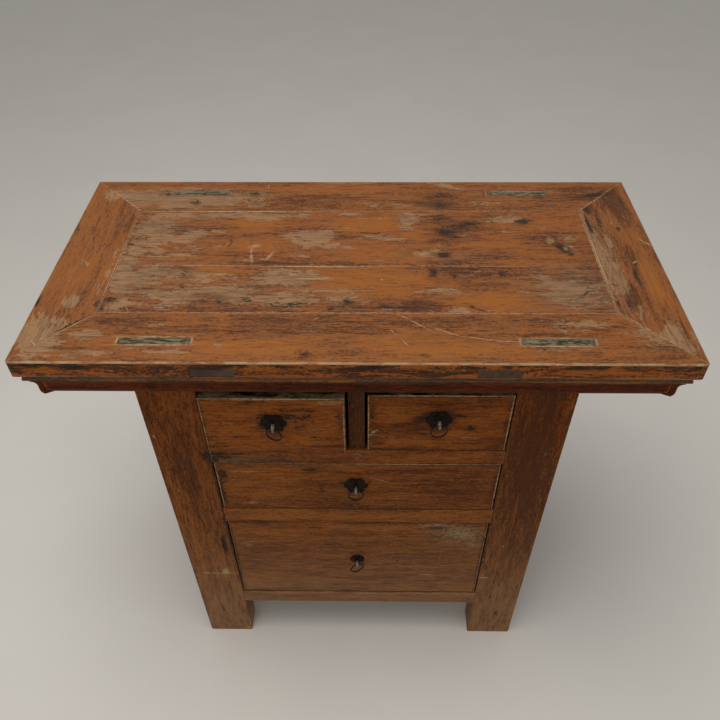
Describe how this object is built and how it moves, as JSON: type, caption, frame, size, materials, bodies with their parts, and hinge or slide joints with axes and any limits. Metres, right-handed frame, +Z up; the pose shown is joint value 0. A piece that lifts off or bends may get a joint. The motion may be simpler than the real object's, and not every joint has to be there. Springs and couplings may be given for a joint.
{
  "type": "cabinet with drawers",
  "caption": "Lacquered softwood cabinet with small drawers over wider ones, a broad moulded overhanging top, straight legs and iron ring pulls.",
  "frame": {"origin": "on the floor below the middle of the top", "axes": "+Z up, -Y out of the front with the drawers, +X towards the right-hand end as seen from the front"},
  "size_m": [1, 0.5, 0.89],
  "materials": {
    "top_lacquer": "worn orange-brown lacquer over softwood",
    "frame_lacquer": "worn brown lacquer over softwood",
    "front_lacquer": "worn brown lacquer over softwood",
    "panel_lacquer": "thin worn lacquer over softwood boards",
    "bare_wood": "unfinished softwood, darkened with age",
    "iron": "forged iron with a dull patina"
  },
  "bodies": {
    "carcase": {"top_front_rail": "top_lacquer", "top_back_rail": "top_lacquer", "top_left_rail": "top_lacquer", "top_right_rail": "top_lacquer", "top_front_board": "top_lacquer", "top_back_board": "top_lacquer", "tenon_wedges": "top_lacquer", "front_left_leg": "frame_lacquer", "front_right_leg": "frame_lacquer", "back_left_leg": "frame_lacquer", "back_right_leg": "frame_lacquer", "small_drawer_rail": "frame_lacquer", "middle_rail": "frame_lacquer", "bottom_rail": "frame_lacquer", "centre_stile": "frame_lacquer", "stile_peg": "frame_lacquer", "under_front_moulding": "frame_lacquer", "under_back_moulding": "frame_lacquer", "under_left_moulding": "frame_lacquer", "under_right_moulding": "frame_lacquer", "side_rails": "frame_lacquer", "back_rails": "frame_lacquer", "left_side_panel": "panel_lacquer", "right_side_panel": "panel_lacquer", "back_panels": "panel_lacquer", "drawer_runners": "bare_wood", "top_left_batten": "bare_wood", "top_right_batten": "bare_wood"},
    "left_drawer": {"left_drawer_front": "front_lacquer", "left_drawer_left_side": "bare_wood", "left_drawer_right_side": "bare_wood", "left_drawer_back": "bare_wood", "left_drawer_bottom": "bare_wood", "left_drawer_pull_plate": "iron", "left_drawer_pull_pin": "iron"},
    "left_ring": {"left_drawer_pull_ring": "iron"},
    "right_drawer": {"right_drawer_front": "front_lacquer", "right_drawer_left_side": "bare_wood", "right_drawer_right_side": "bare_wood", "right_drawer_back": "bare_wood", "right_drawer_bottom": "bare_wood", "right_drawer_pull_plate": "iron", "right_drawer_pull_pin": "iron"},
    "right_ring": {"right_drawer_pull_ring": "iron"},
    "middle_drawer": {"middle_drawer_front": "front_lacquer", "middle_drawer_left_side": "bare_wood", "middle_drawer_right_side": "bare_wood", "middle_drawer_back": "bare_wood", "middle_drawer_bottom": "bare_wood", "middle_drawer_pull_plate": "iron", "middle_drawer_pull_pin": "iron"},
    "middle_ring": {"middle_drawer_pull_ring": "iron"},
    "bottom_drawer": {"bottom_drawer_front": "front_lacquer", "bottom_drawer_left_side": "bare_wood", "bottom_drawer_right_side": "bare_wood", "bottom_drawer_back": "bare_wood", "bottom_drawer_bottom": "bare_wood", "bottom_drawer_pull_plate": "iron", "bottom_drawer_pull_pin": "iron"},
    "bottom_ring": {"bottom_drawer_pull_ring": "iron"}
  },
  "joints": [
    {"name": "left_drawer_slide", "type": "slide", "parent": "carcase", "child": "left_drawer", "axis": [0, -1, 0], "range_m": [-0.008, 0.28]},
    {"name": "left_ring_hinge", "type": "hinge", "parent": "left_drawer", "child": "left_ring", "pos_m": [-0.1315, -0.237, 0.7312], "axis": [-0.9511, 0.309, 0], "range_deg": [-10, 188]},
    {"name": "right_drawer_slide", "type": "slide", "parent": "carcase", "child": "right_drawer", "axis": [0, -1, 0], "range_m": [0, 0.28]},
    {"name": "right_ring_hinge", "type": "hinge", "parent": "right_drawer", "child": "right_ring", "pos_m": [0.1315, -0.229, 0.7312], "axis": [-0.9925, -0.1219, 0], "range_deg": [-10, 188]},
    {"name": "middle_drawer_slide", "type": "slide", "parent": "carcase", "child": "middle_drawer", "axis": [0, -1, 0], "range_m": [0, 0.28]},
    {"name": "middle_ring_hinge", "type": "hinge", "parent": "middle_drawer", "child": "middle_ring", "pos_m": [-0.0025, -0.229, 0.5567], "axis": [-0.9976, -0.0698, 0], "range_deg": [-10, 188]},
    {"name": "bottom_drawer_slide", "type": "slide", "parent": "carcase", "child": "bottom_drawer", "axis": [0, -1, 0], "range_m": [0, 0.28]},
    {"name": "bottom_ring_hinge", "type": "hinge", "parent": "bottom_drawer", "child": "bottom_ring", "pos_m": [-0.0025, -0.226, 0.30545], "axis": [-0.9272, -0.3746, 0], "range_deg": [-10, 188]}
  ]
}
